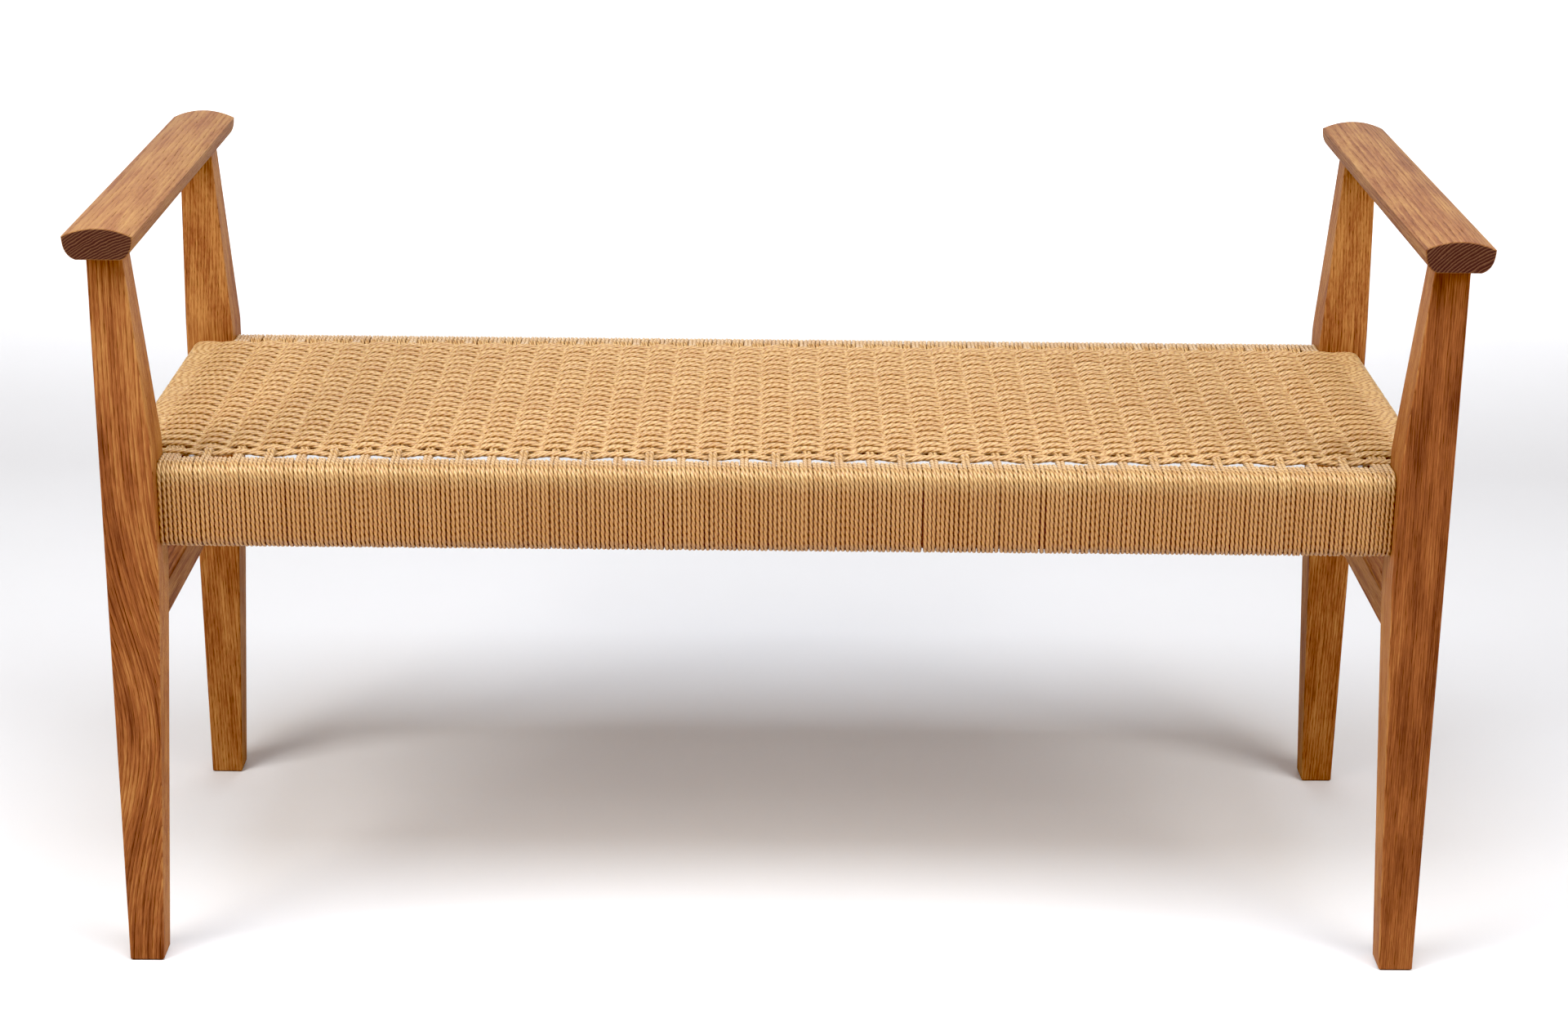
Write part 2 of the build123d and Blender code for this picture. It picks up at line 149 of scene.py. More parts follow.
def oak(name, axis, seed, pith, pitch=0.0021, tone=0.0, bend=(0.0, 1.0, 0.0), figure=1.0, golden=0.0, side_light=0.0):
    """Oiled oak, with its grain along one axis of the frame: growth rings about a pith outside the piece, fine fibre, open pores and darker end grain. bend = (where along the grain, width, size) of a sweep in the grain."""
    s = Shader(name)
    place = s.add("ShaderNodeTexCoord").outputs["Object"]
    parts = s.add("ShaderNodeSeparateXYZ")
    s.plug(parts.inputs[0], place)
    u, v, w = (parts.outputs[letter] for letter in {"x": "YZX", "y": "XZY", "z": "XYZ"}[axis])
    swept = s.maths("MULTIPLY", s.maths("SUBTRACT", w, bend[0]), 1.0 / bend[1])
    swept = s.maths("EXPONENT", s.maths("MULTIPLY", s.maths("MULTIPLY", swept, swept), -1.0))
    u = s.maths("ADD", u, s.maths("MULTIPLY", swept, -bend[2]))
    join = s.add("ShaderNodeCombineXYZ")
    for socket, source in zip(join.inputs, (u, v, w)):
        s.plug(socket, source)
    grain = s.vector("ADD", join.outputs[0], (seed * 0.37, seed * 0.73, seed * 1.91))
    drift = s.noise(s.vector("MULTIPLY", grain, (1.0, 1.0, 0.12)), 13.0, 1.0, 0.4)
    waver = s.noise(s.vector("MULTIPLY", grain, (1.0, 1.0, 0.07)), 120.0, 2.0, 0.5)

    # growth rings: distance from the pith, bent by slow noise, with years of unequal width
    rings_at = s.vector("MULTIPLY", s.vector("ADD", join.outputs[0], (pith[0], pith[1], 0.0)), (1.0, 1.0, 0.0))
    radius = s.add("ShaderNodeVectorMath", operation="LENGTH")
    s.plug(radius.inputs[0], rings_at)
    bent = s.maths("ADD", radius.outputs["Value"], s.maths("MULTIPLY", drift, 0.012))
    bent = s.maths("ADD", bent, s.maths("MULTIPLY", waver, 0.0022))
    line = s.add("ShaderNodeCombineXYZ")
    s.plug(line.inputs[0], bent)
    s.plug(line.inputs[1], seed * 1.37)
    bent = s.maths("ADD", bent, s.maths("MULTIPLY", s.noise(line.outputs[0], 150.0, 1.0, 0.5), 0.0030))
    year = s.maths("FRACT", s.maths("MULTIPLY", bent, 1.0 / pitch))
    early = s.level(year, 0.0, 0.42, 1.0, 0.0)
    late = s.level(year, 0.45, 0.95)

    # fibre and pores run along the grain
    fine = s.noise(s.vector("MULTIPLY", grain, (1.0, 1.0, 0.060)), 1400.0, 3.0, 0.62)
    streaks = s.noise(s.vector("MULTIPLY", grain, (1.0, 1.0, 0.032)), 400.0, 3.0, 0.60)
    broad = s.noise(s.vector("MULTIPLY", grain, (1.0, 1.0, 0.130)), 85.0, 2.0, 0.5)
    cloud = s.noise(s.vector("MULTIPLY", grain, (1.0, 1.0, 0.35)), 15.0, 2.0, 0.5)
    pores = s.noise(s.vector("MULTIPLY", grain, (1.0, 1.0, 0.045)), 1700.0, 1.0, 0.5)
    open_pores = s.level(pores, 0.56, 0.66)
    open_pores = s.maths("MULTIPLY", open_pores, s.maths("ADD", 0.25, s.maths("MULTIPLY", early, 0.75)))

    value = 0.50 + tone
    for source, size in ((streaks, 1.00), (fine, 0.90), (broad, 1.00), (cloud, 0.55)):
        value = s.maths("ADD", s.maths("MULTIPLY", s.maths("SUBTRACT", source, 0.5), size * figure), value)
    value = s.maths("SUBTRACT", value, s.maths("MULTIPLY", early, 0.24 * figure))
    value = s.maths("ADD", value, s.maths("MULTIPLY", late, 0.10 * figure))

    # painted light: the faces towards the bench's ends are made paler
    facing = s.add("ShaderNodeNewGeometry")
    endways = s.maths("ABSOLUTE", s.vector("DOT_PRODUCT", facing.outputs["Normal"], (1.0, 0.0, 0.0)))
    value = s.maths("ADD", value, s.maths("MULTIPLY", endways, side_light))
    steps = [(0.06, OAK_DARK), (0.50, OAK_MID), (0.95, OAK_LIGHT)]
    colour = s.ramp(value, [(at, (r * (1.0 - golden), g * (1.0 + golden), b * (1.0 + 2.0 * golden))) for at, (r, g, b) in steps], smooth=False)
    colour = s.mix(s.maths("MULTIPLY", open_pores, 0.40 + 0.25 * figure), colour, (0.055, 0.018, 0.005))

    # sawn-across ends drink more oil
    along = {"x": (1.0, 0.0, 0.0), "y": (0.0, 1.0, 0.0), "z": (0.0, 0.0, 1.0)}[axis]
    across = s.maths("ABSOLUTE", s.vector("DOT_PRODUCT", facing.outputs["Normal"], along))
    ends = s.level(across, 0.62, 0.92)
    rings_seen = s.maths("ADD", s.maths("MULTIPLY", late, 0.75), s.maths("MULTIPLY", s.maths("SUBTRACT", fine, 0.5), 0.9))
    end_colour = s.ramp(rings_seen, [(0.05, END_DARK), (0.75, END_LIGHT)], smooth=False)
    colour = s.mix(s.maths("MULTIPLY", ends, 0.95), colour, end_colour)
    s.plug(s.bsdf.inputs["Base Color"], colour)
    shine = s.maths("ADD", 0.40, s.maths("MULTIPLY", fine, 0.20))
    s.plug(s.bsdf.inputs["Roughness"], s.maths("ADD", shine, s.maths("MULTIPLY", open_pores, 0.20)))
    height = s.maths("SUBTRACT", s.maths("MULTIPLY", fine, 0.35), open_pores)
    s.plug(s.bsdf.inputs["Normal"], s.bump(height, 0.00022, 0.8))
    s.bsdf.inputs["Specular IOR Level"].default_value = 0.03
    s.bsdf.inputs["Specular Tint"].default_value = (1.0, 0.76, 0.52, 1.0)
    return s.material


def cord_material(name):
    """Twisted paper cord: each cord has its own tone, each ply its creases and fibres along the twist. Painted shade
    darkens the grooves between plies, the valleys between cords and the sides of the rolls, and a painted highlight
    pales the tops of the rolls.
    """
    s = Shader(name)
    spot = s.add("ShaderNodeAttribute", attribute_name="cord_place").outputs["Vector"]
    tone = s.add("ShaderNodeAttribute", attribute_name="cord_tone").outputs["Fac"]
    crest = s.add("ShaderNodeAttribute", attribute_name="cord_crest").outputs["Fac"]
    beside = s.add("ShaderNodeAttribute", attribute_name="cord_beside").outputs["Fac"]
    painted_shading = s.add("ShaderNodeAttribute", attribute_name="cord_painted_shading").outputs["Fac"]
    streaks = s.noise(s.vector("MULTIPLY", spot, (0.16, 1.0, 1.0)), 1500.0, 3.0, 0.6)
    creases = s.noise(s.vector("MULTIPLY", spot, (0.45, 1.0, 1.0)), 520.0, 2.0, 0.5)
    slow = s.noise(s.vector("MULTIPLY", spot, (1.0, 0.2, 0.2)), 16.0, 3.0, 0.5)
    value = s.maths("ADD", 0.5, s.maths("MULTIPLY", s.maths("SUBTRACT", streaks, 0.5), 0.62))
    value = s.maths("ADD", value, s.maths("MULTIPLY", s.maths("SUBTRACT", creases, 0.5), 0.50))
    value = s.maths("ADD", value, s.maths("MULTIPLY", s.maths("SUBTRACT", slow, 0.5), 0.55))
    value = s.maths("ADD", value, s.maths("MULTIPLY", s.maths("SUBTRACT", tone, 0.5), 0.10))
    colour = s.ramp(value, [(0.10, CORD_DARK), (0.50, CORD_MID), (0.92, CORD_LIGHT)], smooth=False)
    # painted highlight: the cords pale towards the light cord colour where they turn over the top of a roll
    colour = s.mix(s.level(painted_shading, 0.0, 0.12, 0.36, 0.0), colour, CORD_LIGHT)
    # painted shade: the sides and undersides of the rolls darken towards a deep brown
    colour = s.mix(s.level(painted_shading, 0.25, 1.0, 0.0, 0.63), colour, CORD_SIDE_SHADE)
    # painted shade in the grooves between plies
    groove_shade = s.maths("MULTIPLY", s.level(crest, 0.0, 0.80, 1.0, 0.0), s.level(painted_shading, 0.12, 1.0, 0.88, 0.50))
    colour = s.mix(groove_shade, colour, CORD_GROOVE_SHADE)
    # painted shade in the valleys between neighbouring cords
    colour = s.mix(s.maths("MULTIPLY", s.level(beside, 0.50, 0.84, 0.0, 1.0), painted_shading), colour, CORD_VALLEY_SHADE)
    s.plug(s.bsdf.inputs["Base Color"], colour)
    s.plug(s.bsdf.inputs["Roughness"], s.level(streaks, 0.25, 0.75, 0.36, 0.54))
    height = s.maths("ADD", s.maths("MULTIPLY", streaks, 0.5), creases)
    s.plug(s.bsdf.inputs["Normal"], s.bump(height, 0.00030, 0.55))
    s.bsdf.inputs["Specular IOR Level"].default_value = 0.95
    s.bsdf.inputs["Specular Tint"].default_value = (1.0, 0.94, 0.86, 1.0)
    s.bsdf.inputs["Sheen Weight"].default_value = 0.35
    s.bsdf.inputs["Sheen Tint"].default_value = (1.0, 0.86, 0.66, 1.0)
    s.bsdf.inputs["Sheen Roughness"].default_value = 0.45
    return s.material


CORD_DARK = (0.360, 0.155, 0.040)
CORD_MID = (0.546, 0.341, 0.133)
CORD_LIGHT = (0.724, 0.511, 0.240)
# the next three colours are painted shade: on the sides of the rolls, in the grooves between plies and in the valleys
# between cords
CORD_SIDE_SHADE = (0.391, 0.150, 0.018)
CORD_GROOVE_SHADE = (0.215, 0.050, 0.004)
CORD_VALLEY_SHADE = (0.150, 0.026, 0.001)


def steel_material(name):
    s = Shader(name)
    place = s.add("ShaderNodeTexCoord").outputs["Object"]
    scratches = s.noise(s.vector("MULTIPLY", place, (1.0, 1.0, 0.2)), 2600.0, 2.0, 0.5)
    spots = s.noise(place, 420.0, 2.0, 0.5)
    s.plug(s.bsdf.inputs["Base Color"], s.ramp(spots, [(0.30, (0.48, 0.48, 0.50)), (0.70, (0.70, 0.71, 0.74))]))
    s.plug(s.bsdf.inputs["Roughness"], s.level(scratches, 0.3, 0.7, 0.26, 0.46))
    s.plug(s.bsdf.inputs["Normal"], s.bump(scratches, 0.00005, 0.5))
    s.bsdf.inputs["Metallic"].default_value = 1.0
    return s.material


def wear(node, material):
    """Gives a CAD node's slots this material."""
    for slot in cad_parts[node].material_slots:
        slot.material = material


wear("front_left_leg", oak("oak_front_left_leg", "z", 1.0, (0.420, 0.310), 0.0027, -0.06, (0.215, 0.125, 0.036), side_light=0.28))
wear("front_right_leg", oak("oak_front_right_leg", "z", 2.0, (-0.440, 0.270), 0.0017, -0.14, figure=0.75, side_light=0.33))
wear("rear_left_leg", oak("oak_rear_left_leg", "z", 3.0, (0.430, -0.120), 0.0024, 0.18, side_light=0.08))
wear("rear_right_leg", oak("oak_rear_right_leg", "z", 4.0, (-0.400, -0.130), 0.0026, 0.14, side_light=0.10))
wear("left_armrest", oak("oak_left_armrest", "y", 5.0, (0.479, -0.524), 0.0021, 0.19, figure=0.60, golden=0.065))
wear("right_armrest", oak("oak_right_armrest", "y", 6.0, (-0.607, -0.541), 0.0026, 0.08, figure=0.80, golden=0.065))
wear("left_stretcher", oak("oak_left_stretcher", "y", 7.0, (0.480, -0.160), 0.0022, 0.02, side_light=0.16))
wear("right_stretcher", oak("oak_right_stretcher", "y", 8.0, (-0.470, -0.170), 0.0022, 0.04, side_light=0.16))
wear("front_seat_rail", oak("oak_front_rail", "x", 9.0, (0.260, -0.330)))
wear("rear_seat_rail", oak("oak_rear_rail", "x", 10.0, (-0.110, -0.360)))
wear("left_seat_rail", oak("oak_left_rail", "y", 11.0, (0.590, -0.350)))
wear("right_seat_rail", oak("oak_right_rail", "y", 12.0, (-0.480, -0.340)))
steel = steel_material("nail_steel_wire")
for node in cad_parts:
    if node.endswith("_cord_nails"):
        wear(node, steel)


# ------------------------------------------------------------------ paper cord
# Lengths here are in mm. A cord is three plies twisted to the left, so that its section is a rounded trefoil that turns once in LAY.
CORD = 3.71
LAY = 18.5
RINGS = 9                      # cross sections in one turn of the twist
SECTION = np.array([0.64, 0.93, 1.0, 0.93] * 3)
SECTION_ANGLE = np.radians(np.arange(12) * 30.0)
CREST = np.array([0.0, 0.8, 1.0, 0.8] * 3)
NV = len(SECTION)

PITCH_X = 2 * (506.7 - 0.2) / 272
ROLL_Y = 189.7                 # middle of the front and rear rolls
ROLL_X = 530.0                 # middle of the side rolls
ROLL_HALF = 13.145             # from a rail's middle to the middle of its cord
ROLL_Z, ROLL_HALF_Z = 406.5, 34.945
ROLL_R = 8.355
ROLL_TOP = ROLL_Z + ROLL_HALF_Z
ROLL_BOTTOM = ROLL_Z - ROLL_HALF_Z
NAIL_Z = 392.0
DECK_Z = 441.0
ROWS = 46
ROW_0, ROW_PITCH = -163.9, 7.376
PAIRS = [-499.05] + [7 * PITCH_X * k for k in range(-18, 19)] + [499.05]
HALF_GROUP = [7.45] + [3.72] * 37 + [7.45]


def arc(cu, cv, radius, start, end, steps=14):
    a = np.radians(np.linspace(start, end, steps))
    return np.stack([cu + radius * np.cos(a), cv + radius * np.sin(a)], 1)


def resample(line, count, closed):
    """count points at equal distances along a dense polyline."""
    if closed:
        line = np.vstack([line, line[:1]])
    steps = np.linalg.norm(np.diff(line, axis=0), axis=1)
    keep = np.r_[True, steps > 1e-9]
    line = line[keep]
    at = np.r_[0.0, np.cumsum(np.linalg.norm(np.diff(line, axis=0), axis=1))]
    wanted = np.linspace(0.0, at[-1], count + 1 if closed else count)
    out = np.stack([np.interp(wanted, at, line[:, i]) for i in range(3)], 1)
    return (out[:-1] if closed else out), at[-1]


def smooth_line(points, closed, passes=2):
    """Takes the corners off a resampled line, at the scale of its own spacing."""
    for _ in range(passes):
        if closed:
            points = 0.5 * points + 0.25 * (np.roll(points, 1, 0) + np.roll(points, -1, 0))
        else:
            inner = 0.5 * points[1:-1] + 0.25 * (points[:-2] + points[2:])
            points = np.vstack([points[:1], inner, points[-1:]])
    return points


def tubes(lines, closed, radius, phases, across):
    """Vertices of the cords along these lines, which all have the same number of points: (cords, points, NV, 3), with each point's distance along its cord, and how squarely it faces the next cord, which lies along across (0 for X, 1 for Y)."""
    p = np.array(lines)
    m, n, _ = p.shape
    if closed:
        tangent = np.roll(p, -1, 1) - np.roll(p, 1, 1)
    else:
        tangent = np.gradient(p, axis=1)
    tangent /= np.linalg.norm(tangent, axis=2, keepdims=True)
    first = np.cross(tangent[:, 0], np.array([0.31, 0.52, 0.79]))
    first /= np.linalg.norm(first, axis=1, keepdims=True)
    normals = np.zeros_like(p)
    normals[:, 0] = first
    wrap = n + 1 if closed else n
    last = None
    for i in range(1, wrap):
        a, b = (i - 1) % n, i % n
        step = p[:, b] - p[:, a]
        c = (step * step).sum(1, keepdims=True)
        flipped = normals[:, a] - 2 * step * (step * normals[:, a]).sum(1, keepdims=True) / c
        turned = tangent[:, a] - 2 * step * (step * tangent[:, a]).sum(1, keepdims=True) / c
        rest = tangent[:, b] - turned
        c2 = np.maximum((rest * rest).sum(1, keepdims=True), 1e-12)
        new = flipped - 2 * rest * (rest * flipped).sum(1, keepdims=True) / c2
        if i < n:
            normals[:, i] = new
        else:
            last = new
    binormals = np.cross(tangent, normals)
    share = np.arange(n) / (n if closed else n - 1)
    turns = round((n if closed else n - 1) / RINGS)
    twist = -2 * math.pi * turns * share[None, :]
    if closed:
        off = np.arctan2((last * binormals[:, 0]).sum(1), (last * normals[:, 0]).sum(1))
        twist = twist - off[:, None] * share[None, :]
    steps = np.linalg.norm(np.diff(p, axis=1), axis=2)
    along = np.concatenate([np.zeros((m, 1)), np.cumsum(steps, 1)], 1)
    angle = twist[:, :, None] + np.asarray(phases)[:, None, None] + SECTION_ANGLE[None, None, :]
    size = np.asarray(radius)[:, None, None] * SECTION[None, None, :]
    out = (
        p[:, :, None, :]
        + (size * np.cos(angle))[..., None] * normals[:, :, None, :]
        + (size * np.sin(angle))[..., None] * binormals[:, :, None, :]
    )
    beside = np.abs(out[..., across] - p[:, :, None, across]) / size
    return out, along, beside


def cord_piece(name, groups, material, painted_shading=1.0):
    """One mesh of whole cords. groups is a list of (vertices, along, beside, closed, tones). The last argument sets the
    painted shading. It gives painted shade in the valleys between neighbouring cords. On the rolls that shade fades out
    where the cords turn over the top, which get a painted highlight, and it grows down their sides, which get painted
    shade.
    """
    verts, faces, place, tone, crest, valley, shading_values, cells = [], [], [], [], [], [], [], []
    caps = []
    offset = cell = 0
    for points, along, beside, closed, tones in groups:
        m, n, nv, _ = points.shape
        verts.append(points.reshape(-1, 3))
        ring = np.arange(n if closed else n - 1)
        v = np.arange(nv)
        a = offset + (np.arange(m)[:, None, None] * n + ring[None, :, None]) * nv
        b = offset + (np.arange(m)[:, None, None] * n + ((ring + 1) % n)[None, :, None]) * nv
        quad = np.stack([a + v, a + (v + 1) % nv, b + (v + 1) % nv, b + v], -1)
        faces.append(quad.reshape(-1, 4))
        index = cell + np.arange(m * len(ring))
        cells.append(np.stack([np.repeat(index, nv), np.tile(v, len(index))], 1))
        cell += m * len(ring)
        if not closed:
            for i in range(m):
                start = offset + i * n * nv
                caps.append(list(range(start, start + nv))[::-1])
                end = offset + (i * n + n - 1) * nv
                caps.append(list(range(end, end + nv)))
        spot = np.zeros((m, n, nv, 3))
        spot[..., 0] = along[:, :, None] + np.asarray(tones)[:, None, None] * 5000.0
        spot[..., 1] = 1.7 * np.cos(SECTION_ANGLE)[None, None, :]
        spot[..., 2] = 1.7 * np.sin(SECTION_ANGLE)[None, None, :]
        place.append(spot.reshape(-1, 3))
        tone.append(np.repeat(np.asarray(tones), n * nv))
        # painted shading by height under the top of a roll: a little right at the top, none just below, full down the
        # sides; one value for the wefts
        side_on = np.interp(ROLL_TOP - points[..., 2], (0.5, 3.0, 5.0, 19.0, 56.0), (0.12, 0.0, 0.0, 0.85, 1.0)) if painted_shading > 0.9 else painted_shading
        shading_values.append(np.broadcast_to(side_on, (m, n, nv)).reshape(-1))
        crest.append(np.tile(CREST, m * n))
        valley.append(beside.reshape(-1))
        offset += m * n * nv
    verts = np.vstack(verts) * MM
    faces = np.vstack(faces)
    mesh = bpy.data.meshes.new(name)
    nq, nc = len(faces), len(caps)
    mesh.vertices.add(len(verts))
    mesh.vertices.foreach_set("co", verts.astype(np.float32).ravel())
    mesh.loops.add(nq * 4 + nc * NV)
    loops = np.concatenate([faces.ravel(), np.array(caps, int).ravel()]).astype(np.int32)
    mesh.loops.foreach_set("vertex_index", loops)
    mesh.polygons.add(nq + nc)
    starts = np.concatenate([np.arange(nq) * 4, nq * 4 + np.arange(nc) * NV]).astype(np.int32)
    mesh.polygons.foreach_set("loop_start", starts)
    mesh.update(calc_edges=True)
    mesh.polygons.foreach_set("use_smooth", np.r_[np.ones(nq, bool), np.zeros(nc, bool)])
    mesh.attributes.new("cord_place", "FLOAT_VECTOR", "POINT").data.foreach_set(
        "vector", (np.vstack(place) * MM).astype(np.float32).ravel())
    mesh.attributes.new("cord_tone", "FLOAT", "POINT").data.foreach_set(
        "value", np.concatenate(tone).astype(np.float32))
    mesh.attributes.new("cord_crest", "FLOAT", "POINT").data.foreach_set(
        "value", np.concatenate(crest).astype(np.float32))
    mesh.attributes.new("cord_beside", "FLOAT", "POINT").data.foreach_set(
        "value", np.concatenate(valley).astype(np.float32))
    mesh.attributes.new("cord_painted_shading", "FLOAT", "POINT").data.foreach_set(
        "value", np.concatenate(shading_values).astype(np.float32))
    # one narrow cell of the map for each step along a cord
    cells = np.vstack(cells)
    columns = max(1, int(math.sqrt(cell * 11.6 / 1.66)))
    rows = math.ceil(cell / columns)
    u0 = (cells[:, 0] % columns) / columns
    v0 = (cells[:, 0] // columns) / rows
    u1 = u0 + 1.0 / columns
    w = 0.90 / rows / NV
    va = v0 + 0.05 / rows + cells[:, 1] * w
    uv = np.zeros((nq, 4, 2))
    uv[:, 0] = np.stack([u0, va], 1)
    uv[:, 1] = np.stack([u0, va + w], 1)
    uv[:, 2] = np.stack([u1, va + w], 1)
    uv[:, 3] = np.stack([u1, va], 1)
    flat = np.zeros((nq * 4 + nc * NV, 2))
    flat[: nq * 4] = uv.reshape(-1, 2)
    if nc:
        flat[nq * 4:, 0] = np.tile(0.5 / columns * (1 + 0.5 * np.cos(SECTION_ANGLE)), nc)
        flat[nq * 4:, 1] = np.tile(0.5 / rows * (1 + 0.5 * np.sin(SECTION_ANGLE)), nc)
    layer = mesh.uv_layers.new(name="OFBake")
    layer.uv.foreach_set("vector", flat.astype(np.float32).ravel())
    mesh.materials.append(material)
    mesh.validate()
    piece = bpy.data.objects.new(name, mesh)
    bpy.context.scene.collection.objects.link(piece)
    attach(piece, "root")
    return piece


def lane_noise(count, size, width):
    """Random offsets for neighbouring cords, smoothed over a few of them."""
    raw = rng.normal(0.0, 1.0, count + 4 * width)
    kernel = np.hanning(2 * width + 1)
    kernel /= kernel.sum()
    out = np.convolve(raw, kernel, "same")[2 * width: 2 * width + count]
    return out / max(out.std(), 1e-9) * size


# where each of the 272 cords crosses the front of a rail, for the front and the rear
def lanes():
    at = (np.arange(272) - 135.5) * PITCH_X
    at = at + rng.normal(0.0, 0.10, 272) + lane_noise(272, 0.14, 3)
    for gap in (-349.0, 120.0, 251.0):
        at = at + 0.32 * np.sign(at - gap) * np.exp(-np.abs(at - gap) / 7.0)
    return np.clip(at, -506.7 + 1.95, 506.7 - 1.95)


lane = {-1: lanes(), 1: lanes()}
SPACERS = [[4 + 7 * g + i for i in range(5)] for g in range(38)]
CARRIED = [[0, 1], [2, 3]] + [[9 + 7 * k, 10 + 7 * k] for k in range(37)] + [[268, 269], [270, 271]]
WRAP_R = 2.00
lean = {-1: rng.normal(1.0, 0.12, 272), 1: rng.normal(1.0, 0.12, 272)}
sway = {-1: rng.normal(0.0, 0.12, (272, 2)), 1: rng.normal(0.0, 0.12, (272, 2))}


def round_section(half_u, half_v, radius, cu, cv):
    """A closed section line from the middle of the inner face (+u) up, over, down the outer face (-u) and under."""
    u, v = half_u - radius, half_v - radius
    rows = [
        np.stack([np.full(30, cu + half_u), np.linspace(cv, cv + v, 30)], 1),
        arc(cu + u, cv + v, radius, 0, 90),
        np.stack([np.linspace(cu + u, cu - u, 8), np.full(8, cv + half_v)], 1),
        arc(cu - u, cv + v, radius, 90, 180),
        np.stack([np.full(60, cu - half_u), np.linspace(cv + v, cv - v, 60)], 1),
        arc(cu - u, cv - v, radius, 180, 270),
        np.stack([np.linspace(cu - u, cu + u, 8), np.full(8, cv - half_v)], 1),
        arc(cu + u, cv - v, radius, 270, 360),
        np.stack([np.full(30, cu + half_u), np.linspace(cv - v, cv, 30)], 1),
    ]
    out = np.vstack(rows)
    keep = np.r_[True, np.linalg.norm(np.diff(out, axis=0), axis=1) > 1e-6]
    return out[keep]


top_s = (ROLL_HALF_Z - ROLL_R) + ROLL_R * math.pi / 2 + (ROLL_HALF - ROLL_R)   # top middle of the roll, from the middle of the inner face
section = round_section(ROLL_HALF, ROLL_HALF_Z, ROLL_R, 0.0, ROLL_Z)
section_at = np.r_[0.0, np.cumsum(np.linalg.norm(np.diff(section, axis=0), axis=1))]
GIRTH = section_at[-1]
FRONT_MIDDLE = GIRTH / 2


def at_girth(s):
    s = np.mod(s, GIRTH)
    return np.interp(s, section_at, section[:, 0]), np.interp(s, section_at, section[:, 1])


# a wrap moves on by one pitch in a turn, most of it on the way over the top edge and under the bottom edge
corner_s = (ROLL_HALF_Z - ROLL_R) + ROLL_R * math.pi / 2 + 2 * (ROLL_HALF - ROLL_R)
SHIFT_S = [0.0, corner_s - 9.0, corner_s + 17.0, GIRTH - corner_s - 12.0, GIRTH - corner_s + 10.0, GIRTH]
SHIFT = [-0.44, -0.40, 0.10, 0.14, 0.50, 0.56]


def wrap_x(end, i, s):
    """X of wrap i where s is its distance round the rail, 0 to GIRTH from the middle of the inner face, with the lean and the sway that hand wrapping leaves."""
    t = (s - FRONT_MIDDLE) / GIRTH
    room = min(1.0, max(0.0, (506.7 - abs(lane[end][i]) - 1.9) / 26.0))
    return (
        lane[end][i]
        + room * lean[end][i] * PITCH_X * np.interp(s, SHIFT_S, SHIFT)
        + room * (sway[end][i, 0] * np.sin(2 * math.pi * t) + sway[end][i, 1] * np.sin(math.pi * t) ** 2)
    )


def spacer_line(end, cords):
    """The five turns between two warp pairs, one cord that climbs along the rail."""
    s = np.linspace(0.0, GIRTH, 360, endpoint=False)
    x = []
    for i in cords:
        x.append(wrap_x(end, i, s))
    joined = np.concatenate(x)
    # each turn ends where the next begins
    out = joined.copy()
    for j in range(1, len(cords)):
        gap = x[j][0] - x[j - 1][-1]
        ease = 0.5 - 0.5 * np.cos(np.linspace(0, math.pi, 60))
        out[360 * j - 60: 360 * j] += gap / 2 * ease
        out[360 * j: 360 * j + 60] -= gap / 2 * ease[::-1]
    s_all = np.concatenate([s + GIRTH * j for j in range(len(cords))])
    u, v = at_girth(s_all)
    first = 4.0
    keep = (s_all > first) & (s_all < GIRTH * len(cords) - 9.0)
    return np.stack([out, u, v], 1)[keep]


def to_rail(line, end):
    """From a section's own (x, u, z), with u towards the middle of the seat, to the frame."""
    out = line.copy()
    out[:, 1] = -end * line[:, 1] + end * ROLL_Y
    if end > 0:
        return out
    return out


cord = cord_material("paper_cord_twisted")
for end, label in ((-1, "front"), (1, "rear")):
    lines = [to_rail(spacer_line(end, cords), end) for cords in SPACERS]
    lengths = [np.linalg.norm(np.diff(l, axis=0), axis=1).sum() for l in lines]
    count = int(round(np.mean(lengths) / LAY)) * RINGS + 1
    lines = [resample(l, count, False)[0] for l in lines]
    made, along, beside = tubes(lines, False, WRAP_R + rng.normal(0, 0.02, 38), rng.uniform(0, 6.28, 38), 0)
    tones = rng.uniform(0.0, 1.0, 38)
    for part in range(2):
        pick = slice(part * 19, part * 19 + 19)
        cord_piece(
            f"{label}_spacers_{part + 1}", [(made[pick], along[pick], beside[pick], False, tones[pick])], cord)


# warps: each is a loop of one cord, hooked on a nail inside the front rail and on another inside the rear rail
def crimp(j):
    """How far the warp gives way to weft row j: more where the rows are loose, at the front and the rear."""
    return 0.35 + 2.10 * math.exp(-j / 1.15) + 1.5 * math.exp(-(ROWS - 1 - j) / 1.0)


ROW_Y = ROW_0 + ROW_PITCH * np.arange(ROWS)
ROW_Y[0] -= 1.3
ROW_Y[1] -= 0.4
CRIMP = np.array([crimp(j) for j in range(ROWS)])


def ease(t):
    return 0.5 - 0.5 * np.cos(np.clip(t, 0.0, 1.0) * math.pi)


def through(at, knots, values, flats):
    """A smooth line through values at knots, level for half a flat on each side of each."""
    out = np.empty_like(at)
    out[at <= knots[0]] = values[0]
    out[at >= knots[-1]] = values[-1]
    for i in range(len(knots) - 1):
        a, b = knots[i] + flats[i], knots[i + 1] - flats[i + 1]
        inside = (at >= knots[i]) & (at <= knots[i + 1])
        out[inside] = values[i] + (values[i + 1] - values[i]) * ease((at[inside] - a) / max(b - a, 1e-6))
    return out


